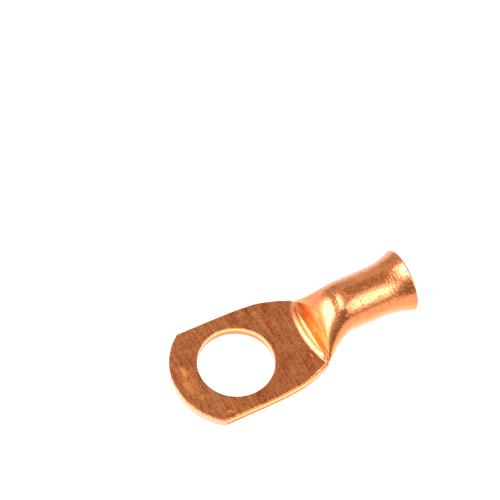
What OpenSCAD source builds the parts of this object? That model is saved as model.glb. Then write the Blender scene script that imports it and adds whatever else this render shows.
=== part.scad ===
// Copper tube cable lug with a bell mouth. It is one piece: a length of round tube whose far end
// is pressed flat into a palm, coined, cropped to a round end and pierced for the stud.
// The origin is the stud hole's centre on the contact face. +X runs to the mouth, +Z is up.

/* [Palm] */
// Diameter of the stud hole
stud_d = 13; // [8:0.1:15]
// Copper between the stud hole and each flat side
side_rim = 2.8; // [2:0.1:5]
// Copper between the stud hole and the round end
end_rim = 4.7; // [3.5:0.1:8]
// Copper between the stud hole and the foot of the step, along the middle
neck_rim = 5.7; // [4:0.1:12]
// Thickness of the coined palm
palm_t = 2; // [1.4:0.05:3]
// Length of the shoulders, where the sides curve in towards the neck
shoulder_l = 19.6; // [8:0.2:22]
// How late along their length the shoulders turn in, from 1 for straight sides
shoulder_power = 4.8; // [2:0.1:6]
// How far the folded sides bulge out past the edges of the coined faces
fold_bulge = 0.25; // [0.1:0.05:0.5]
// Depth of the crease along the middle of the folded sides
crease_d = 0.1; // [0:0.01:0.2]

/* [Neck] */
// Width across the neck, where the palm ends
neck_w = 14.3; // [11:0.1:17]
// Plan radius of the foot of the step, which bows towards the stud hole
step_r = 18.5; // [14:0.5:30]
// Slope of the step's face from the palm, in degrees
step_angle = 56; // [40:1:75]
// Height of the ridge above the palm, at its middle
ridge_h = 1.6; // [0.8:0.1:2.5]
// Depth of the dip behind the ridge
dip_h = 0.35; // [0.1:0.05:0.7]
// Length of the slope from the ridge down into the dip
dip_l = 1; // [0.6:0.1:2]
// Length from the ridge to where the flanks and the underside are round again
flank_l = 6.7; // [3.5:0.1:8]
// How early along their length the flanks turn in to the barrel, from 1 for straight flanks
flank_power = 2.1; // [1.1:0.05:2.5]
// Length from the ridge to where the dome over the neck has risen to the full tube
dome_l = 8.5; // [5:0.1:10]
// How full the dome's shoulder is, from 1 for a straight ramp
dome_power = 2.8; // [1:0.1:4]
// How steeply the dome leaves the dip, less than 1 for a steep foot
dome_rise = 0.74; // [0.5:0.02:1]

/* [Barrel] */
// Bore that takes the stripped cable
bore_d = 6.7; // [5:0.1:8]
// Wall of the tube
wall = 1.1; // [0.8:0.05:1.4]
// Length of the parallel barrel, from the dome to the bell
barrel_l = 3.8; // [3:0.1:20]
// Length of the bell mouth
bell_l = 5.8; // [3:0.1:9]
// How far the bell mouth opens out, on the radius
bell_h = 1.1; // [0.5:0.05:2]
// How late along its length the bell opens, from 1 for a cone
bell_power = 2.2; // [1:0.1:4]
// Wall left at the mouth, where the bell has stretched it
lip_wall = 0.85; // [0.7:0.05:1]
// Rounding of both edges of the mouth
lip_round = 0.25; // [0.1:0.05:0.3]

/* [Hidden] */
$fn = 96;

ring_n = 64;        // points round each ring of the pressed skin
palm_rings = 14;    // rings along the palm's shoulders
dip_rings = 4;      // rings from the ridge to the dip
dome_rings = 15;    // rings up the dome, from the dip to the round barrel
bell_steps = 10;    // bands along the bell mouth
lip_steps = 4;      // bands round each edge of the mouth
over = 1;           // reach of cutters past what they cut, and of the skin into the barrel
seat = 0.02;        // how far the skin's last rings sit inside the barrel's surface
slit = 0.1;         // gap left between the two layers where the hollow closes
fold_l = 6;         // length over which the palm's square section turns into the neck's oval
dome_fillet = 0.6;  // reach of the curve between the dip and the dome's foot

stud_r = stud_d / 2;
end_r = stud_r + end_rim;
palm_hw = stud_r + side_rim;
neck_hw = neck_w / 2;
bore_r = bore_d / 2;
barrel_r = bore_r + wall;
bell_r = barrel_r + bell_h;
axis_z = bell_r;    // the bell's lowest point is level with the contact face

// Stations along the lug: the foot of the step in the middle and at the neck's corners, the
// ridge, the bottom of the dip, the ends of the flanks and of the dome, the bell, and the mouth.
foot_x = stud_r + neck_rim;
corner_x = foot_x + step_r - sqrt(step_r * step_r - neck_hw * neck_hw);
ridge_x = foot_x + ridge_h / tan(step_angle);
dip_x = ridge_x + dip_l;
flank_x = ridge_x + flank_l;
round_x = ridge_x + dome_l;
bell_x = round_x + barrel_l;
mouth_x = bell_x + bell_l;

ridge_z = palm_t + ridge_h;
dip_z = ridge_z - dip_h;
end_x = -end_r - over;
shoulder_x = corner_x - shoulder_l;

// The pressed tube stands ridge_h proud of both faces until the palm is coined. This power
// squares its rings so that the coined faces cut them fold_bulge inside their widest point.
fold_sin = (palm_t / 2) / (palm_t / 2 + ridge_h);
fold_power = ln(1 - fold_bulge / palm_hw) / ln(sqrt(1 - fold_sin * fold_sin));

function mix(a, b, w) = a + (b - a) * w;
function ease(x, x0, x1) =
    let (u = min(1, max(0, (x - x0) / (x1 - x0))))
    u * u * (3 - 2 * u);

function soft_max(a, b, reach) =
    let (near = max(reach - abs(a - b), 0) / reach)
    max(a, b) + near * near * reach / 4;

// Half width of the pressed tube at x, then the heights of its widest point and its underside.
function half_w(x) =
    x < corner_x
    ? mix(palm_hw, neck_hw, pow(max(0, (x - shoulder_x) / shoulder_l), shoulder_power))
    : mix(barrel_r - seat, neck_hw, pow(max(0, (flank_x - x) / (flank_x - corner_x)), flank_power));
function side_z(x) = mix(palm_t / 2, axis_z, ease(x, ridge_x, flank_x));
function under_z(x) = mix(-ridge_h, axis_z - barrel_r + seat, ease(x, foot_x, flank_x));

// Height of the top at x, or of a surface so far inside it: level over the palm, down from the
// ridge into the dip, then up the dome.
function top_z(x, inside = 0) =
    let (facet = mix(ridge_z, dip_z, max(0, x - ridge_x) / dip_l),
         foot = dip_x + inside,
         left = 1 - min(1, max(0, (x - foot) / (round_x - foot))),
         dome = mix(dip_z, axis_z + barrel_r - seat, pow(1 - pow(left, dome_power), dome_rise)))
    (x < ridge_x ? ridge_z : soft_max(facet, dome, dome_fillet)) - inside;

// How square a ring is, and how deep its side crease is.
function square(x) = mix(fold_power, 1, ease(x, corner_x - fold_l, ridge_x));
function crease(x) = crease_d * (1 - ease(x, corner_x - over, dip_x));

// A point of a flattened ring at x: its half width, its heights at the side, top and bottom.
function ring_point(x, a, w, side, top, bottom) =
    [x,
     w * sign(cos(a)) * pow(abs(cos(a)), square(x)),
     side + (a <= 180 ? top - side : side - bottom) * sin(a)];

function skin_point(x, a) =
    let (w = half_w(x) - (sin(a) == 0 ? crease(x) : 0))
    ring_point(x, a, w, side_z(x), top_z(x), under_z(x));

// The hollow keeps the wall all round, and closes to a slit between the palm's two layers.
function hollow_point(x, a) =
    let (open = ease(x, foot_x, dip_x),
         bottom = max(under_z(x), 0) + wall,
         top = max(bottom + slit, mix(bottom + slit, top_z(x, wall), open)),
         side = min(top - slit / 2, max(bottom + slit / 2, side_z(x))))
    ring_point(x, a, half_w(x) - mix(2 * wall, wall, open), side, top, bottom);

// Closed solid through rings of equal count, flat at both ends.
module loft(rings) {
    n = len(rings[0]);
    m = len(rings);
    polyhedron(
        points = [for (r = rings) each r],
        faces = concat(
            [[for (j = [0:n - 1]) j]],
            [for (i = [0:m - 2]) for (j = [0:n - 1])
                [i * n + j, (i + 1) * n + j, (i + 1) * n + (j + 1) % n, i * n + (j + 1) % n]],
            [[for (j = [n - 1:-1:0]) (m - 1) * n + j]]));
}

angles = [for (j = [0:ring_n - 1]) 360 * j / ring_n];
shoulder_xs = [for (i = [0:palm_rings]) mix(max(shoulder_x, over - end_r), ridge_x, i / palm_rings)];

// Stations past the ridge: even down to the dip, then closest where the dome is steepest.
function neck_xs(inside) = concat(
    [for (i = [1:dip_rings]) mix(ridge_x, dip_x + inside, i / dip_rings)],
    [for (i = [1:dome_rings]) mix(dip_x + inside, round_x, 1 - cos(90 * i / dome_rings))]);

// The tube as the press leaves it, before the palm is coined.
module pressed_tube() {
    xs = concat([end_x], shoulder_xs, neck_xs(0), [round_x + over]);
    loft([for (x = xs) [for (a = angles) skin_point(x, a)]]);
}

module hollow() {
    xs = concat([foot_x, ridge_x], neck_xs(wall), [round_x + over]);
    loft([for (x = xs) [for (a = angles) hollow_point(x, a)]]);
}

// The upper die: flat over the palm, with a conical flank that leaves the bowed step.
module coining_die() {
    die_h = 2 * ridge_h;
    reach = over / tan(step_angle);
    difference() {
        translate([end_x - over, -end_r, palm_t]) cube([round_x - end_x, 2 * end_r, die_h]);
        translate([foot_x + step_r, 0, palm_t - over])
            cylinder(h = die_h + 2 * over, r1 = step_r + reach, r2 = step_r - reach - die_h / tan(step_angle));
    }
}

// What is kept of the pressed tube: a round end, and all that stands above the contact face.
module cropped() {
    crop_h = axis_z + barrel_r + over;
    cylinder(h = crop_h, r = end_r);
    translate([0, -end_r, 0]) cube([round_x + 2 * over, 2 * end_r, crop_h]);
}

// Half profile of a tube along X, as far as the mouth, at the radius given for the barrel and
// the mouth. The lip turns towards the wall: 1 rounds an outer edge, -1 an inner one.
function bell_points(r, mouth_r) =
    [for (i = [0:bell_steps]) let (u = i / bell_steps)
        [mix(r, mouth_r, pow(u, bell_power)), mix(bell_x, mouth_x - lip_round, u)]];
function lip_points(mouth_r, turn) =
    [for (i = [1:lip_steps]) let (a = 90 * i / lip_steps)
        [mouth_r - turn * lip_round * (1 - cos(a)), mouth_x - lip_round * (1 - sin(a))]];

module revolved(start_x, end_x, r, mouth_r, turn) {
    edge_r = mouth_r - turn * lip_round;
    rotate([0, 90, 0])
        rotate_extrude()
            polygon(concat(
                [[0, start_x], [r, start_x]],
                bell_points(r, mouth_r),
                lip_points(mouth_r, turn),
                end_x > mouth_x ? [[edge_r, end_x]] : [],
                [[0, end_x]]));
}

module barrel() translate([0, 0, axis_z]) revolved(round_x, mouth_x, barrel_r, bell_r, 1);
module bore() translate([0, 0, axis_z]) revolved(round_x, mouth_x + over, bore_r, bell_r - lip_wall, -1);

module lug() color([0.72, 0.4, 0.23])
    difference() {
        union() {
            intersection() {
                difference() {
                    pressed_tube();
                    coining_die();
                }
                cropped();
            }
            barrel();
        }
        translate([0, 0, -over]) cylinder(h = palm_t + 2 * over, r = stud_r);
        bore();
        hollow();
    }

lug();
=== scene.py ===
# A copper tube lug for one cable: drawn tube, belled at the mouth, pressed flat into a palm at the
# other end. The skin is spun as a plain round tube and then pressed, as the real one is.
import math

import bmesh
import bpy
from mathutils import Matrix, Vector


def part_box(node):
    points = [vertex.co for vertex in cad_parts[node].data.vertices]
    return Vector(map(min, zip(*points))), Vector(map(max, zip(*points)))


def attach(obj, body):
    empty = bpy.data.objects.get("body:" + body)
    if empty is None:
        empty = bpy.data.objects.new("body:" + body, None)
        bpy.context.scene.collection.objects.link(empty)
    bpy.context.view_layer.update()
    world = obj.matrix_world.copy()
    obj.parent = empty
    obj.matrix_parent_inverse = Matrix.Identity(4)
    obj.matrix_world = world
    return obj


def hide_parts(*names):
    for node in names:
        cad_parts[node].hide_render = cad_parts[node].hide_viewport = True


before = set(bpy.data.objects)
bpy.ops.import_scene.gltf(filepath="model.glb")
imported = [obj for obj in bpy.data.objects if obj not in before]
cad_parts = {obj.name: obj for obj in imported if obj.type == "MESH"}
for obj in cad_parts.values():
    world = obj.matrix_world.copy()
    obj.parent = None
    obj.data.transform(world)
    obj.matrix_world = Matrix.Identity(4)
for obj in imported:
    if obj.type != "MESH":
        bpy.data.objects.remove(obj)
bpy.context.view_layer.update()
low, high = [[float(value) * 1000 for value in corner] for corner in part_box("lug")]
print("frame loaded, lug box in mm", low, high)

# All the shapes below are in millimetres, as the part's own source gives them.
palm = {
    "thick": 2.0,
    "studHole": 13.0,
    "endRadius": -low[0],
    "halfWidth": 9.3,
    "shoulder": 19.6,        # length over which the sides curve in to the neck
    "shoulderPower": 4.8,
    "foldLong": 6.0,         # length over which the palm's square section turns into the neck's oval
    "bulge": 0.25,           # the folded sides stand out this far past the flat faces
    "crease": 0.12,          # depth of the fold line along the middle of each side
    "creaseWide": 0.16,
    "creaseFade": 1.0,       # the fold line starts to fade this far before the neck's corners
    "edge": 0.12,            # softness of the coined edges
    "holeRoll": 0.12,        # softness of the stud hole's edges
}
neck = {
    "footX": 12.2,           # where the step's face rises from the palm, on the centre line
    "footSoft": 0.1,
    "halfWidth": 7.15,
    "stepRadius": 18.5,
    "stepAngle": math.radians(56),
    "ridge": 1.6,
    # The step from its foot: a hollow sweep, a narrow steep face and a rounded shoulder. Each has
    # its run, and its slope where it starts and ends.
    "stepParts": [(0.55, 0.78, 1.6), (0.12, 3.1, 3.1), (0.5, 1.6, 0.78)],
    "dieFlank": 4.0,         # slope of the die past the step, where it stands clear of the dome
    "dip": 0.35,
    "dipLong": 1.0,
    "flankLong": 6.7,        # from the ridge to where the sides and the underside are round again
    "flankPower": 2.1,
    "domeLong": 8.5,         # from the ridge to where the top is round again
    "domePower": 2.8,
    "domeRise": 0.74,
    "domeFillet": 0.6,
    "round": 0.14,           # softness of the ridge line
    "roundFrom": 1.2,        # the palm's edge softness starts to turn into it this far before the foot
    "roundTo": 0.2,          # and has done so this far before the foot
    "slit": 0.05,            # least height of the hollow, before it closes at the foot
    # The press's marks on the dome: place, reach and height.
    "swells": [(16.12, 1.47, -0.18), (18.75, 0.95, 0.05)],
}
barrel = {
    "bore": 3.35,
    "wall": 1.1,
    "bellLong": 5.8,
    "bellPower": 2.2,
    "bellRadius": high[2] / 2,
    "lipWall": 0.85,
    "lipRound": 0.25,
    "mouthX": high[0],
}
# How finely the skin is drawn. A quarter of its outline runs from the fold line, over the folded side
# and the coined edge, to the middle of the flat; heights are shares of half the palm's thickness.
mesh = {
    "creaseSteps": 4,
    "creaseTop": 0.16,
    "foldSteps": 8,
    "edgeFrom": 0.88,
    "edgeSteps": 7,
    "edgeTo": 1.16,
    "flatSteps": 26,
    "cutSteps": 5,           # rings round the palm's cut end
    "capLong": 0.2,          # one more ring is drawn in from this far out, to close the end
    "lipSteps": 6,           # rings round each edge of the mouth
    "holeSteps": 5,          # rings round each edge of the stud hole
    "holeColumns": 160,
    "straightX": 1.0,        # the rings follow the round end up to here
    "bowLong": 5.0,          # and start to bow, as the step does, this far before its foot
    "bowPast": 0.9,          # and are straight again this far past the dip
    "palmSpacings": [(7.0, 0.45), (11.6, 0.25)],     # where a stretch of the palm ends, and its spacing
    "stepSpacing": 0.06,     # over the step, the ridge and the dip
    "stepPast": 0.6,         # and this far past the dip
    "domeSpacing": 0.12,
    "barrelSpacing": 0.2,
    "bellSpacing": 0.12,
    "boreSpacing": 0.7,
    "hollowSpacing": 0.2,
    "sameRing": 0.01,        # places closer than this are the same ring
    "merge": 0.0002,         # points closer than this are the same point
    "sharpAngle": math.radians(32),
}
mesh["quarter"] = mesh["creaseSteps"] + mesh["foldSteps"] + mesh["edgeSteps"] + mesh["flatSteps"]
mesh["columns"] = 4 * mesh["quarter"]

barrelRadius = barrel["bore"] + barrel["wall"]
axisZ = barrel["bellRadius"]
ridgeX = neck["footX"] + neck["ridge"] / math.tan(neck["stepAngle"])
dipX = ridgeX + neck["dipLong"]
flankX = ridgeX + neck["flankLong"]
roundX = ridgeX + neck["domeLong"]
bellX = barrel["mouthX"] - barrel["bellLong"]
cornerX = neck["footX"] + neck["stepRadius"] - math.sqrt(neck["stepRadius"] ** 2 - neck["halfWidth"] ** 2)
shoulderX = cornerX - palm["shoulder"]
ridgeZ = palm["thick"] + neck["ridge"]
dipZ = ridgeZ - neck["dip"]
middleZ = palm["thick"] / 2
rawHeight = middleZ + neck["ridge"]      # the pressed tube stands this far above its middle, before coining
foldSin = middleZ / rawHeight
foldPower = math.log(1 - palm["bulge"] / palm["halfWidth"]) / math.log(math.sqrt(1 - foldSin ** 2))


def mix(a, b, share):
    return a + (b - a) * share


def ease(x, start, end):
    share = min(1, max(0, (x - start) / (end - start)))
    return share * share * (3 - 2 * share)


def softMin(a, b, reach):
    near = max(reach - abs(a - b), 0) / reach
    return min(a, b) - near * near * reach / 4


def softMax(a, b, reach):
    return -softMin(-a, -b, reach)


# The pressed tube at x along the lug: half width, height of its widest point, top and underside.
def halfWidth(x):
    if x < cornerX:
        share = max(0, (x - shoulderX) / palm["shoulder"])
        return mix(palm["halfWidth"], neck["halfWidth"], share ** palm["shoulderPower"])
    share = max(0, (flankX - x) / (flankX - cornerX))
    return mix(barrelRadius, neck["halfWidth"], share ** neck["flankPower"])


def sideHeight(x):
    return mix(middleZ, axisZ, ease(x, ridgeX, flankX))


def topHeight(x, inside=0):
    if x < ridgeX:
        return ridgeZ - inside
    facet = mix(ridgeZ, dipZ, (x - ridgeX) / neck["dipLong"])
    foot = dipX + inside
    left = 1 - min(1, max(0, (x - foot) / (roundX - foot)))
    dome = mix(dipZ, axisZ + barrelRadius, (1 - left ** neck["domePower"]) ** neck["domeRise"])
    for place, reach, height in neck["swells"]:
        dome += height * max(0, 1 - ((x - place) / reach) ** 2) ** 2
    return softMax(facet, dome, neck["domeFillet"]) - inside


def underHeight(x):
    return mix(-neck["ridge"], axisZ - barrelRadius, ease(x, neck["footX"], flankX))


# Angles of the skin's columns over the palm, in one quarter: close together at the fold line and at
# the coined edge, and even across the flat.
def palmAngles():
    heights = [mesh["creaseTop"] * step / mesh["creaseSteps"] for step in range(mesh["creaseSteps"])]
    for step in range(mesh["foldSteps"]):
        heights.append(mix(mesh["creaseTop"], mesh["edgeFrom"], step / mesh["foldSteps"]))
    for step in range(mesh["edgeSteps"] + 1):
        heights.append(mix(mesh["edgeFrom"], mesh["edgeTo"], step / mesh["edgeSteps"]))
    angles = [math.asin(height * middleZ / rawHeight) for height in heights]
    flatEdge = math.cos(angles[-1]) ** foldPower
    for step in range(1, mesh["flatSteps"] + 1):
        width = flatEdge * (1 - step / mesh["flatSteps"])
        angles.append(math.acos(width ** (1 / foldPower)))
    return angles


quarterAngles = palmAngles()


# The columns turn from the palm's spacing to the barrel's even one as the tube opens.
def columnAngle(column, x):
    quarter = mesh["quarter"]
    turn = column // quarter
    step = column % quarter
    inQuarter = step if turn % 2 == 0 else quarter - step
    opened = ease(x, neck["footX"], flankX)
    angle = mix(quarterAngles[inQuarter], math.pi / 2 * inQuarter / quarter, opened)
    return [angle, math.pi - angle, math.pi + angle, 2 * math.pi - angle][turn]


# Height of the coining die over a point: level over the palm, then up the bowed step.
def coinedHeight(x, y):
    out = math.hypot(x - neck["footX"] - neck["stepRadius"], y)
    along = neck["stepRadius"] - out
    rise = min(along, 0)
    for run, startSlope, endSlope in neck["stepParts"]:
        done = min(max(along, 0), run)
        rise += startSlope * done + (endSlope - startSlope) * done * done / (2 * run)
        along -= done
    rise += neck["dieFlank"] * max(along, 0)
    return palm["thick"] + softMax(rise, 0, neck["footSoft"])


def skinPoint(column, x):
    angle = columnAngle(column, x)
    across = math.cos(angle)
    up = math.sin(angle)
    square = mix(foldPower, 1, ease(x, cornerX - palm["foldLong"], ridgeX))
    side = sideHeight(x)
    if up >= 0:
        z = side + (topHeight(x) - side) * up
        turned = ease(x, neck["footX"] - neck["roundFrom"], neck["footX"] - neck["roundTo"])
        softness = mix(palm["edge"], neck["round"], turned)
        z = softMin(z, coinedHeight(x, halfWidth(x) * across), softness)
    else:
        z = side + (side - underHeight(x)) * up
    z = softMax(z, 0, palm["edge"])
    crease = palm["crease"] * (1 - ease(x, cornerX - palm["creaseFade"], dipX))
    groove = crease * math.exp(-((z - side) / palm["creaseWide"]) ** 2)
    y = halfWidth(x) * abs(across) ** square - groove
    return math.copysign(y, across), z


# Where a ring sits along the lug: it follows the round end, then the bowed foot of the step.
def ringShift(along, y):
    endArc = palm["endRadius"] - math.sqrt(palm["endRadius"] ** 2 - y * y)
    footArc = neck["stepRadius"] - math.sqrt(neck["stepRadius"] ** 2 - y * y)
    atEnd = 1 - ease(along, -palm["endRadius"], mesh["straightX"])
    atFoot = ease(along, neck["footX"] - mesh["bowLong"], neck["footX"])
    atFoot *= 1 - ease(along, neck["footX"], dipX + mesh["bowPast"])
    return endArc * atEnd + footArc * atFoot


def pressOuter(column, along):
    inset = 0
    if along < -palm["endRadius"] + palm["edge"]:
        turn = min(1, max(0, (along + palm["endRadius"]) / palm["edge"])) * math.pi / 2
        inset = palm["edge"] * (1 - math.sin(turn))
        along = -palm["endRadius"] + palm["edge"] * (1 - math.cos(turn))
    x = along
    for _ in range(3):       # the shift depends on how far out the point is, and settles in three rounds
        y, z = skinPoint(column, x)
        x = along + ringShift(along, y)
    if inset:
        z = min(max(z, inset), palm["thick"] - inset)
    return Vector((x, y, z))


# The hollow keeps the wall all round, and closes between the palm's two layers.
def pressInner(column, x):
    angle = 2 * math.pi * column / mesh["columns"]
    across = math.cos(angle)
    up = math.sin(angle)
    opened = ease(x, neck["footX"], dipX)
    wall = barrel["wall"]
    bottom = max(underHeight(x), 0) + wall
    top = bottom             # the first ring is closed
    if x > neck["footX"] + mesh["sameRing"]:
        top = max(bottom + neck["slit"], mix(bottom, topHeight(x, wall), opened))
    side = min(top, max(bottom, sideHeight(x)))
    y = (halfWidth(x) - mix(2 * wall, wall, opened)) * across
    z = side + (top - side if up >= 0 else side - bottom) * up
    return Vector((x, y, z))


def evenSteps(start, end, step):
    count = max(1, round((end - start) / step))
    return [start + (end - start) * index / count for index in range(count)]


# Places of the rings along the outside, from the palm's cut end to where the tube is round.
def outerPlaces():
    end = -palm["endRadius"]
    start = end + palm["edge"]
    places = [end - mesh["capLong"]]
    places += evenSteps(end, start, palm["edge"] / mesh["cutSteps"])
    for finish, spacing in mesh["palmSpacings"]:
        places += evenSteps(start, finish, spacing)
        start = finish
    domeStart = dipX + mesh["stepPast"]
    places += evenSteps(start, domeStart, mesh["stepSpacing"])
    places += evenSteps(domeStart, roundX, mesh["domeSpacing"])
    return places


# Half outline of the tube before it is pressed, as (along, radius): the outside from the palm's end to
# the mouth, round the lip, and back down the bore to where the hollow closes.
def tubeOutline():
    outline = [(along, barrelRadius) for along in outerPlaces()]
    outline += [(along, barrelRadius) for along in evenSteps(roundX, bellX, mesh["barrelSpacing"])]
    lipX = barrel["mouthX"] - barrel["lipRound"]
    mouthBore = barrel["bellRadius"] - barrel["lipWall"]
    bellShape = []
    for x in evenSteps(bellX, lipX, mesh["bellSpacing"]) + [lipX]:
        bellShape.append((x, ((x - bellX) / (lipX - bellX)) ** barrel["bellPower"]))
    outline += [(x, mix(barrelRadius, barrel["bellRadius"], share)) for x, share in bellShape]
    lip = []
    for step in range(1, mesh["lipSteps"] + 1):
        turn = math.pi / 2 * step / mesh["lipSteps"]
        lip.append((lipX + barrel["lipRound"] * math.sin(turn), barrel["lipRound"] * (1 - math.cos(turn))))
    outline += [(x, barrel["bellRadius"] - inset) for x, inset in lip]
    outline += [(x, mouthBore + inset) for x, inset in reversed(lip)]
    outline += [(x, mix(barrel["bore"], mouthBore, share)) for x, share in reversed(bellShape)]
    inner = evenSteps(neck["footX"], roundX, mesh["hollowSpacing"])
    inner += evenSteps(roundX, bellX, mesh["boreSpacing"])
    outline += [(along, barrel["bore"]) for along in reversed(inner)]
    return outline


def pressTube(vertex):
    along = vertex.co.x
    radius = math.hypot(vertex.co.y, vertex.co.z - axisZ)
    angle = math.atan2(vertex.co.z - axisZ, vertex.co.y)
    column = round(angle / (2 * math.pi) * mesh["columns"]) % mesh["columns"]
    if along >= roundX - mesh["sameRing"]:
        return
    if radius < (barrelRadius + barrel["bore"]) / 2:
        vertex.co = pressInner(column, along)
        return
    vertex.co = pressOuter(column, along)
    if along < -palm["endRadius"] - mesh["sameRing"]:
        vertex.co.z = middleZ      # the cut end is closed along its middle


def linkedObject(name, bm):
    bmesh.ops.scale(bm, vec=(0.001, 0.001, 0.001), verts=bm.verts)
    data = bpy.data.meshes.new(name)
    bm.to_mesh(data)
    bm.free()
    item = bpy.data.objects.new(name, data)
    bpy.context.scene.collection.objects.link(item)
    return item


def spinOutline(points, centre, axis, steps):
    bm = bmesh.new()
    corners = [bm.verts.new(point) for point in points]
    for first, second in zip(corners, corners[1:]):
        bm.edges.new((first, second))
    bmesh.ops.spin(bm, geom=bm.verts[:] + bm.edges[:], cent=centre, axis=axis, dvec=(0, 0, 0),
                   angle=2 * math.pi, steps=steps, use_merge=True)
    return bm


def drawLug():
    outline = tubeOutline()
    points = [(along, radius, axisZ) for along, radius in outline]
    bm = spinOutline(points, (0, 0, axisZ), (1, 0, 0), mesh["columns"])
    for vertex in bm.verts:
        pressTube(vertex)
    bmesh.ops.remove_doubles(bm, verts=bm.verts, dist=mesh["merge"])
    bmesh.ops.recalc_face_normals(bm, faces=bm.faces)
    print("tube pressed:", len(outline), "rings,", len(bm.faces), "faces")
    return linkedObject("lugSkin", bm)


# Half outline of the punch, from below. It leaves rolled edges at both faces of the palm.
def punchOutline():
    radius = palm["studHole"] / 2
    thick = palm["thick"]
    roll = palm["holeRoll"]
    turns = [math.pi / 2 * step / mesh["holeSteps"] for step in range(mesh["holeSteps"] + 1)]
    points = [(0, 0, -1), (radius + roll, 0, -1)]
    for turn in turns:
        points.append((radius + roll * (1 - math.sin(turn)), 0, roll * (1 - math.cos(turn))))
    points.append((radius, 0, middleZ))
    for turn in turns:
        points.append((radius + roll * (1 - math.cos(turn)), 0, thick - roll * (1 - math.sin(turn))))
    points += [(radius + roll, 0, thick + 1), (0, 0, thick + 1)]
    return points


def punchHole(skin):
    bm = spinOutline(punchOutline(), (0, 0, 0), (0, 0, 1), mesh["holeColumns"])
    bmesh.ops.remove_doubles(bm, verts=bm.verts, dist=mesh["merge"])
    bmesh.ops.recalc_face_normals(bm, faces=bm.faces)
    punch = linkedObject("punch", bm)
    cut = skin.modifiers.new("studHole", "BOOLEAN")
    cut.operation = "DIFFERENCE"
    cut.solver = "EXACT"
    cut.object = punch
    evaluated = skin.evaluated_get(bpy.context.evaluated_depsgraph_get())
    pierced = bpy.data.meshes.new_from_object(evaluated)
    skin.modifiers.clear()
    skin.data = pierced
    bpy.data.objects.remove(punch)
    print("stud hole punched:", len(pierced.polygons), "faces")


def smoothSkin(skin):
    bm = bmesh.new()
    bm.from_mesh(skin.data)
    for face in bm.faces:
        face.smooth = True
    for edge in bm.edges:
        edge.smooth = not edge.is_manifold or edge.calc_face_angle(0) < mesh["sharpAngle"]
    openEdges = sum(1 for edge in bm.edges if not edge.is_manifold)
    bm.to_mesh(skin.data)
    bm.free()
    print("skin smoothed, open edges:", openEdges)
    weigh = skin.modifiers.new("evenNormals", "WEIGHTED_NORMAL")
    weigh.keep_sharp = True


def linearColour(hexCode):
    colour = []
    for index in (1, 3, 5):
        value = int(hexCode[index:index + 2], 16) / 255
        colour.append(value / 12.92 if value <= 0.04045 else ((value + 0.055) / 1.055) ** 2.4)
    return tuple(colour) + (1,)


def addNode(tree, kind, settings=None, inputs=None):
    node = tree.nodes.new("ShaderNode" + kind)
    for name, value in (settings or {}).items():
        setattr(node, name, value)
    for name, value in (inputs or {}).items():
        if isinstance(value, bpy.types.NodeSocket):
            tree.links.new(value, node.inputs[name])
        else:
            node.inputs[name].default_value = value
    return node


# How much of a region shows at a point. Each of its soft edges is the name of one of the point's
# values, where the region starts by it, and where the region is full.
def region(tree, point, edges, full=1.0):
    share = full
    for name, start, end in edges:
        inputs = {"Value": point[name], "From Min": start, "From Max": end, "To Max": share}
        share = addNode(tree, "MapRange", {"interpolation_type": "SMOOTHSTEP"}, inputs).outputs["Result"]
    return share


# Colours laid over one another. Each layer is how much of it shows, and its tint.
def layered(tree, colour, layers):
    for share, tint in layers:
        inputs = {"Factor": share, "A": colour, "B": tint}
        for name in ("A", "B"):
            if isinstance(inputs[name], str):
                inputs[name] = linearColour(inputs[name])
        colour = addNode(tree, "Mix", {"data_type": "RGBA"}, inputs).outputs["Result"]
    return colour


# A sum of values, each with its weight.
def weighted(tree, terms):
    total = 0.0
    for weight, value in terms:
        inputs = {0: value, 1: weight, 2: total}
        total = addNode(tree, "Math", {"operation": "MULTIPLY_ADD"}, inputs).outputs["Value"]
    return total


# Distance from a point of the plan, in half widths of a patch.
def distanceFrom(tree, where, middle, halves):
    offset = addNode(tree, "VectorMath", {"operation": "SUBTRACT"}, {0: where, 1: middle + (0,)})
    inputs = {0: offset.outputs["Vector"], 1: (1 / halves[0], 1 / halves[1], 0)}
    scaled = addNode(tree, "VectorMath", {"operation": "MULTIPLY"}, inputs)
    length = addNode(tree, "VectorMath", {"operation": "LENGTH"}, {0: scaled.outputs["Vector"]})
    return length.outputs["Value"]


copper = {
    "palm": "#FFB06A",
    "palmDark": "#B45020",
    "rubbed": "#FFA448",
    "nick": "#6E3A1E",
    # painted shade: the colours for the sides' top edge band, their lower half and their fold line are darker
    "paintedRimShade": "#D07C0C",
    "side": "#FFB874",
    "paintedSideLowShade": "#F09034",
    "crease": "#C4640E",
    "cut": "#EAA074",
    "brokenOut": "#DC6E08",
    "tube": "#F79754",
    "tubeWorn": "#E0742F",
    # painted shade: the scuffed colour dims the tube's reflections where it is laid
    "scuffedAndShaded": "#C47238",
    "pit": "#B5642F",
    "speck": "#C8702F",
    # painted reflection: the golden tone of the hollow and the brighter facet that faces the dome
    "hollow": "#F0944A",
    "facet": "#FFA04C",
    "coat": 0.38,            # chosen
    "coatRoughness": 0.12,
    "reliefDepth": 0.00007,  # in metres
}
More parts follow.
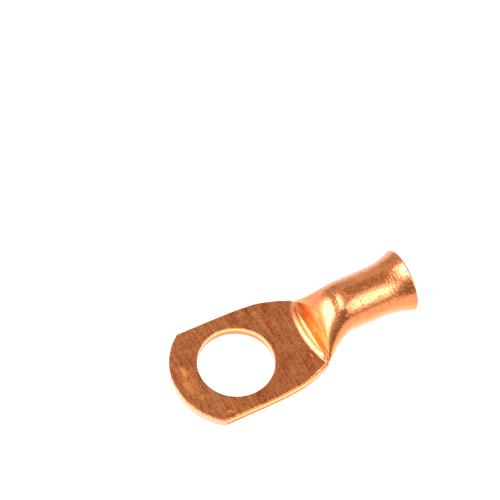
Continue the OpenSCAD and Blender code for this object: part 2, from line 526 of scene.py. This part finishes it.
# Where each finish shows. A row is what it goes by, where it starts and where it is full: the place
# along, across and up and the distance from the stud hole's axis are in mm.
finishes = {
    "palm": [("x", 13.6, 11.9), ("z", 2.15, 1.97)],
    "upright": [("up", 0.8, 0.4), ("up", -0.8, -0.4)],
    # painted shade shows on the sides' top edge band, on the lower half of the upright faces and in the fold
    # line
    "paintedRimShade": [("z", 1.68, 1.8)],
    "underFoldShade": [("z", 1.0, 0.8)],
    "cutEnd": [("x", -6.1, -6.3)],
    "crease": [("x", -6.3, -6.1), ("z", 0.67, 0.83), ("z", 1.23, 1.07)],
    "brokenOut": [("fromHole", 6.63, 6.61), ("z", 1.25, 1.05)],
    "pits": [("grain", 0.6, 0.7)],
    # painted reflection: the golden tone in the hollow and on its facet that faces the dome
    "hollow": [("x", 12.9, 13.2), ("x", 16.2, 15.2), ("z", 6.6, 5.2), ("z", 2.5, 3.0)],
    "facet": [("ahead", 0.0, 0.12), ("y", 6.4, 5.4), ("y", -6.4, -5.4)],
    "grooved": [("y", -3.8, -2.9), ("y", 0.0, -0.9)],
}
# Size along X, Y and Z in mm, detail and roughness of each texture. The metal's own grain is about
# 0.05 mm and its drawing lines are finer, which wouldn't show, so both are drawn coarser.
copperTextures = {
    "mottle": ((2.4, 2.4, 2.4), 5.0, 0.65),
    "speckle": ((0.24, 0.24, 0.24), 2.0, 0.5),
    "lines": ((0.38, 4.2, 4.2), 3.0, 0.5),
    "grain": ((0.38, 0.38, 0.38), 3.0, 0.5),
}
# Worn places, in mm: the middle, the half widths along X and Y, and how complete the wear is.
wear = {
    "rubs": [((-8.7, 2.0), (1.3, 2.4), 0.8),
             ((-8.4, 0.3), (0.5, 0.35), 1.0),
             ((-8.7, 1.2), (0.9, 1.3), 0.7),
             ((-5.2, -7.9), (1.2, 0.6), 0.9),
             ((4.7, 7.8), (1.4, 0.35), 0.5),
             ((7.0, 7.1), (0.9, 0.6), 0.45),
             ((-4.8, -8.2), (1.1, 0.6), 0.6),
             ((11.9, -4.4), (0.35, 1.7), 1.0),
             ((8.6, 3.6), (0.9, 0.5), 0.35),
             ((-7.8, -3.5), (1.6, 1.4), 0.3),
             ((-9.0, -0.5), (2.6, 5.0), 0.35)],
    "nicks": [((4.0, -8.2), (0.22, 0.5), 1.0),
              ((10.9, 5.6), (0.5, 0.2), 0.6)],
    # The scuffs are rougher, and their darker colour is painted shade that dims the tube's reflections.
    "scuffsAndShade": [((18.9, -0.7), (1.1, 2.3), 0.9),
               ((21.5, 1.6), (2.6, 0.9), 0.5),
               ((25.2, 1.5), (2.0, 0.9), 0.5)],
    "ragged": 1.1,           # how far the speckle frays a patch's edge
    "patch": [("away", 1.25, 0.35)],
    "grooves": [27.2, 27.75, 28.25],     # short turned lines near the mouth, by their place along the lug
    "grooveTop": 0.12,       # half widths of a line, at its top and at its bottom
    "grooveBottom": 0.03,
}


# What the copper is worked out from at each point: its place in mm, the way it faces, and the textures.
def copperPoint(tree):
    coordinates = addNode(tree, "TexCoord").outputs
    inMillimetres = {0: coordinates["Object"], 1: (1000, 1000, 1000)}
    where = addNode(tree, "VectorMath", {"operation": "MULTIPLY"}, inMillimetres).outputs["Vector"]
    place = addNode(tree, "SeparateXYZ", None, {0: where}).outputs
    facing = addNode(tree, "SeparateXYZ", None, {0: coordinates["Normal"]}).outputs
    point = {"where": where, "x": place["X"], "y": place["Y"], "z": place["Z"]}
    point["ahead"] = facing["X"]
    point["up"] = facing["Z"]
    point["fromHole"] = distanceFrom(tree, where, (0, 0), (1, 1))
    for name, (sizes, detail, roughness) in copperTextures.items():
        scales = tuple(1 / size for size in sizes)
        scaled = addNode(tree, "VectorMath", {"operation": "MULTIPLY"}, {0: where, 1: scales})
        inputs = {"Vector": scaled.outputs["Vector"], "Scale": 1.0, "Detail": detail, "Roughness": roughness}
        point[name] = addNode(tree, "TexNoise", None, inputs).outputs["Fac"]
    return point


# How worn a point is by soft patches with ragged edges.
def worn(tree, point, patches):
    share = 0.0
    for middle, halves, strength in patches:
        away = distanceFrom(tree, point["where"], middle, halves)
        frayed = weighted(tree, [(1.0, away), (wear["ragged"], point["speckle"])])
        patch = region(tree, {"away": frayed}, wear["patch"], strength)
        share = addNode(tree, "Math", {"operation": "MAXIMUM"}, {0: share, 1: patch}).outputs["Value"]
    return share


# The palm has dulled to a mottled brown with fine lines across it, and shines where it was rubbed.
def palmColour(tree, point):
    mixed = weighted(tree, [(0.38, point["speckle"]), (0.34, point["mottle"]), (0.28, point["lines"])])
    dulled = addNode(tree, "MapRange", None, {"Value": mixed, "From Min": 0.42, "From Max": 0.6})
    return layered(tree, copper["palm"], [
        (dulled.outputs["Result"], copper["palmDark"]),
        (point["rubbed"], copper["rubbed"]),
        (worn(tree, point, wear["nicks"]), copper["nick"]),
    ])


# The folded sides stayed bright. Painted shade darkens a band along their top edge, the lower half of the
# upright faces and the line where they fold. The round end is a clean cut, and the punch has broken out the
# lower part of the stud hole.
def sideColour(tree, point):
    return layered(tree, copper["side"], [
        (region(tree, point, finishes["underFoldShade"]), copper["paintedSideLowShade"]),
        (region(tree, point, finishes["cutEnd"]), copper["cut"]),
        (region(tree, point, finishes["crease"]), copper["crease"]),
        (region(tree, point, finishes["brokenOut"]), copper["brokenOut"]),
        (region(tree, point, finishes["paintedRimShade"]), copper["paintedRimShade"]),
    ])


# The tube is bright and pitted, with dark specks. Painted shade darkens the scuffs, and painted reflection
# tints the hollow behind the ridge golden.
def tubeColour(tree, point):
    darker = addNode(tree, "MapRange", None, {"Value": point["mottle"], "From Min": 0.55, "From Max": 0.8})
    inputs = {"Value": point["speckle"], "From Min": 0.48, "From Max": 0.72, "To Max": 0.75}
    specks = addNode(tree, "MapRange", None, inputs)
    return layered(tree, copper["tube"], [
        (darker.outputs["Result"], copper["tubeWorn"]),
        (point["scuffedAndShaded"], copper["scuffedAndShaded"]),
        (point["pits"], copper["pit"]),
        (specks.outputs["Result"], copper["speck"]),
        (point["hollow"], copper["hollow"]),
        (point["facet"], copper["facet"]),
    ])


# Grain and pits on the tube, far less of both on the coined palm, and the turned lines by the mouth.
def copperRelief(tree, point):
    tubeRelief = weighted(tree, [(1.0, point["grain"]), (-1.0, point["pits"])])
    palmRelief = weighted(tree, [(0.15, tubeRelief), (0.25, point["speckle"])])
    inputs = {"Factor": point["palmShare"], "A": tubeRelief, "B": palmRelief}
    relief = addNode(tree, "Mix", {"data_type": "FLOAT"}, inputs).outputs["Result"]
    for place in wear["grooves"]:
        rows = [("x", place - wear["grooveTop"], place - wear["grooveBottom"]),
                ("x", place + wear["grooveTop"], place + wear["grooveBottom"])]
        groove = region(tree, point, rows + finishes["grooved"], point["mottle"])
        relief = weighted(tree, [(1.0, relief), (-0.5, groove)])
    # the die polished the step and the ridge, so the grain comes back behind them
    inputs = {"Value": point["x"], "From Min": 14.8, "From Max": 18.5, "To Min": 0.065, "To Max": 0.65}
    behind = addNode(tree, "MapRange", {"interpolation_type": "SMOOTHSTEP"}, inputs)
    onPalm = weighted(tree, [(0.65, point["palmShare"])])
    strength = addNode(tree, "Math", {"operation": "MAXIMUM"}, {0: onPalm, 1: behind.outputs["Result"]})
    inputs = {"Height": relief, "Strength": strength.outputs["Value"], "Distance": copper["reliefDepth"]}
    return addNode(tree, "Bump", None, inputs).outputs["Normal"]


# Bright all over and uneven, and duller where it is rubbed, scuffed or coined.
def copperRoughness(tree, point):
    rubbedPalm = region(tree, point, finishes["palm"], point["rubbed"])
    inputs = {"Value": point["mottle"], "From Min": 0.3, "From Max": 0.7, "To Min": 0.16, "To Max": 0.24}
    bright = addNode(tree, "MapRange", None, inputs)
    return weighted(tree, [(1.0, bright.outputs["Result"]), (0.5, rubbedPalm), (0.15, point["facet"]),
                           (0.2, point["scuffedAndShaded"]), (0.08, point["palmShare"])])


# Soft annealed copper, drawn bright and taken as bare: sharp reflections in orange, broken up by pits
# on the tube and blurred on the coined palm. The clear coat is no real layer. It was chosen
# because it pales the highlights and the sides.
def copperMaterial():
    material = bpy.data.materials.new("annealedCopperDrawn")
    material.use_nodes = True
    tree = material.node_tree
    tree.nodes.clear()
    point = copperPoint(tree)
    point["palmShare"] = region(tree, point, finishes["palm"])
    point["rubbed"] = worn(tree, point, wear["rubs"])
    point["scuffedAndShaded"] = worn(tree, point, wear["scuffsAndShade"])
    point["pits"] = region(tree, point, finishes["pits"])
    point["hollow"] = region(tree, point, finishes["hollow"])
    point["facet"] = region(tree, point, finishes["facet"], point["hollow"])
    upright = region(tree, point, finishes["upright"])
    palmTone = layered(tree, palmColour(tree, point), [(upright, sideColour(tree, point))])
    colour = layered(tree, tubeColour(tree, point), [(point["palmShare"], palmTone)])
    shader = addNode(tree, "BsdfPrincipled", None,
                     {"Base Color": colour, "Metallic": 1.0, "Roughness": copperRoughness(tree, point),
                      "Coat Weight": copper["coat"], "Coat Roughness": copper["coatRoughness"],
                      "Normal": copperRelief(tree, point)})
    addNode(tree, "OutputMaterial", None, {"Surface": shader.outputs["BSDF"]})
    print("copper made:", len(tree.nodes), "nodes")
    return material


studio = {
    "floorColour": "#F0E8DC",
    "floorHalf": 1.5,
    "paintedTableGlow": 0.8,        # painted light glows in the table under the lug, so the lug throws no shadow
    "glowCentre": (0.01, 0.0),
    "glowHalves": (2.0, 1.0),
    "glowEdges": [("away", 0.02, 0.008)],
    # The walls' colour from the near side to the far side, by the direction's share along Y.
    "bands": [(-1.0, (0.6, 0.6, 0.6)),
              (-0.8, (0.68, 0.7, 0.8)),
              (-0.6, (0.6, 0.68, 0.85)),
              (0.0, (0.5, 0.55, 0.65)),
              (0.2, (0.47, 0.36, 0.33)),
              (0.58, (0.47, 0.36, 0.33)),
              (0.74, (0.75, 0.8, 1.0)),
              (1.0, (0.85, 1.0, 1.35))],
    # Round patches on the walls: azimuth, elevation, where they are full and where they end, and colour.
    "patches": [(-22, 23, 15, 38, (0.3, 0.27, 0.26)),
                (-168, 15, 12, 35, (0.5, 0.52, 0.58))],
    "lightColour": (0.66, 0.7, 1.0),
    "softboxPanels": [(1.1, 0.2), (0.85, 0.4), (0.6, 0.6)],      # size and radiance, as shares
    "softboxAway": 1.0,
    "panelGap": 0.01,
    "softboxes": {           # azimuth, elevation, width, height and radiance
        "frontSoftbox": (32, 46, 0.9, 0.9, 4.0),
        "lowSoftbox": (-104, 15, 0.95, 0.56, 8.0),
        "highSoftbox": (-100, 66, 1.06, 0.46, 8.5),
    },
}


# Opal acrylic, matt and evenly white, with painted light glowing in it round the lug.
def tableMaterial():
    material = bpy.data.materials.new("opalAcrylicPaintedGlow")
    material.use_nodes = True
    tree = material.node_tree
    tree.nodes.clear()
    where = addNode(tree, "TexCoord").outputs["Object"]
    away = distanceFrom(tree, where, studio["glowCentre"], studio["glowHalves"])
    glow = region(tree, {"away": away}, studio["glowEdges"], studio["paintedTableGlow"])
    shader = addNode(tree, "BsdfPrincipled", None,
                     {"Base Color": linearColour(studio["floorColour"]), "Roughness": 0.9,
                      "Specular IOR Level": 0.0, "Emission Color": (1, 1, 1, 1), "Emission Strength": glow})
    addNode(tree, "OutputMaterial", None, {"Surface": shader.outputs["BSDF"]})
    return material


def makeFloor():
    bm = bmesh.new()
    bmesh.ops.create_grid(bm, x_segments=1, y_segments=1, size=studio["floorHalf"] * 1000)
    floor = linkedObject("studioFloor", bm)
    floor.data.materials.append(tableMaterial())


# A direction by its azimuth, from the side that the lug's near edge faces round to its mouth, and elevation.
def skyDirection(azimuth, elevation):
    azimuth = math.radians(azimuth)
    elevation = math.radians(elevation)
    flat = math.cos(elevation)
    return Vector((math.sin(azimuth) * flat, -math.cos(azimuth) * flat, math.sin(elevation)))


def areaLight(name, away, distance, width, height, radiance):
    light = bpy.data.lights.new(name, "AREA")
    light.color = studio["lightColour"]
    light.shape = "RECTANGLE"
    light.size = width
    light.size_y = height
    light.energy = radiance * math.pi * width * height
    item = bpy.data.objects.new(name, light)
    turned = away.to_track_quat("Z", "Y").to_matrix().to_4x4()
    item.matrix_world = Matrix.Translation(away * distance) @ turned
    item.visible_camera = False
    bpy.context.scene.collection.objects.link(item)


# A softbox is brightest in its middle, so it is an even panel with smaller panels before it.
def softbox(name, azimuth, elevation, width, height, radiance):
    away = skyDirection(azimuth, elevation)
    for step, (size, share) in enumerate(studio["softboxPanels"]):
        distance = studio["softboxAway"] - studio["panelGap"] * step
        areaLight(name + str(step), away, distance, width * size, height * size, radiance * share)


def wallColour(tree, direction):
    split = addNode(tree, "SeparateXYZ", None, {0: direction})
    across = addNode(tree, "MapRange", None, {"Value": split.outputs["Y"], "From Min": -1.0, "From Max": 1.0})
    bands = addNode(tree, "ValToRGB", None, {"Fac": across.outputs["Result"]})
    ramp = bands.color_ramp
    ramp.interpolation = "EASE"
    ramp.elements[0].color = studio["bands"][0][1] + (1,)
    ramp.elements[1].color = studio["bands"][-1][1] + (1,)
    for place, colour in studio["bands"][1:-1]:
        ramp.elements.new((place + 1) / 2).color = colour + (1,)
    patches = []
    for azimuth, elevation, inner, outer, colour in studio["patches"]:
        inputs = {0: direction, 1: skyDirection(azimuth, elevation)}
        towards = addNode(tree, "VectorMath", {"operation": "DOT_PRODUCT"}, inputs).outputs["Value"]
        edge = ("towards", math.cos(math.radians(outer)), math.cos(math.radians(inner)))
        patches.append((region(tree, {"towards": towards}, [edge]), colour + (1,)))
    return layered(tree, bands.outputs["Color"], patches)


# The walls light the lug, and the camera sees plain white past it.
def makeWorld():
    world = bpy.data.worlds.new("paleStudio")
    world.use_nodes = True
    tree = world.node_tree
    tree.nodes.clear()
    walls = wallColour(tree, addNode(tree, "TexCoord").outputs["Generated"])
    seen = addNode(tree, "LightPath").outputs["Is Camera Ray"]
    colour = layered(tree, walls, [(seen, (1, 1, 1, 1))])
    background = addNode(tree, "Background", None, {"Color": colour, "Strength": 1.0})
    addNode(tree, "OutputWorld", None, {"Surface": background.outputs["Background"]})
    bpy.context.scene.world = world


cameraPlace = {
    "position": (-0.08875, -0.15509, 0.3138),
    "aim": (0.012858, 0.019781, 0.0),
    "roll": math.radians(3.4845),
    "sensor": 36,
    "lens": 155.22,
    "clip": (0.01, 50),
}


def makeCamera():
    data = bpy.data.cameras.new("studioCamera")
    data.sensor_width = cameraPlace["sensor"]
    data.lens = cameraPlace["lens"]
    data.clip_start, data.clip_end = cameraPlace["clip"]
    camera = bpy.data.objects.new("studioCamera", data)
    position = Vector(cameraPlace["position"])
    back = (position - Vector(cameraPlace["aim"])).normalized()
    right = Vector((0, 0, 1)).cross(back).normalized()
    up = back.cross(right)
    turned = Matrix((right, up, back)).transposed() @ Matrix.Rotation(cameraPlace["roll"], 3, "Z")
    camera.matrix_world = Matrix.Translation(position) @ turned.to_4x4()
    bpy.context.scene.collection.objects.link(camera)
    bpy.context.scene.camera = camera


lug = drawLug()
punchHole(lug)
smoothSkin(lug)
lug.data.materials.clear()
lug.data.materials.append(copperMaterial())
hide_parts("lug")
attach(lug, "root")
makeFloor()
makeWorld()
for boxName, boxValues in studio["softboxes"].items():
    softbox(boxName, *boxValues)
makeCamera()
bpy.context.scene.view_settings.view_transform = "Standard"
print("studio ready")
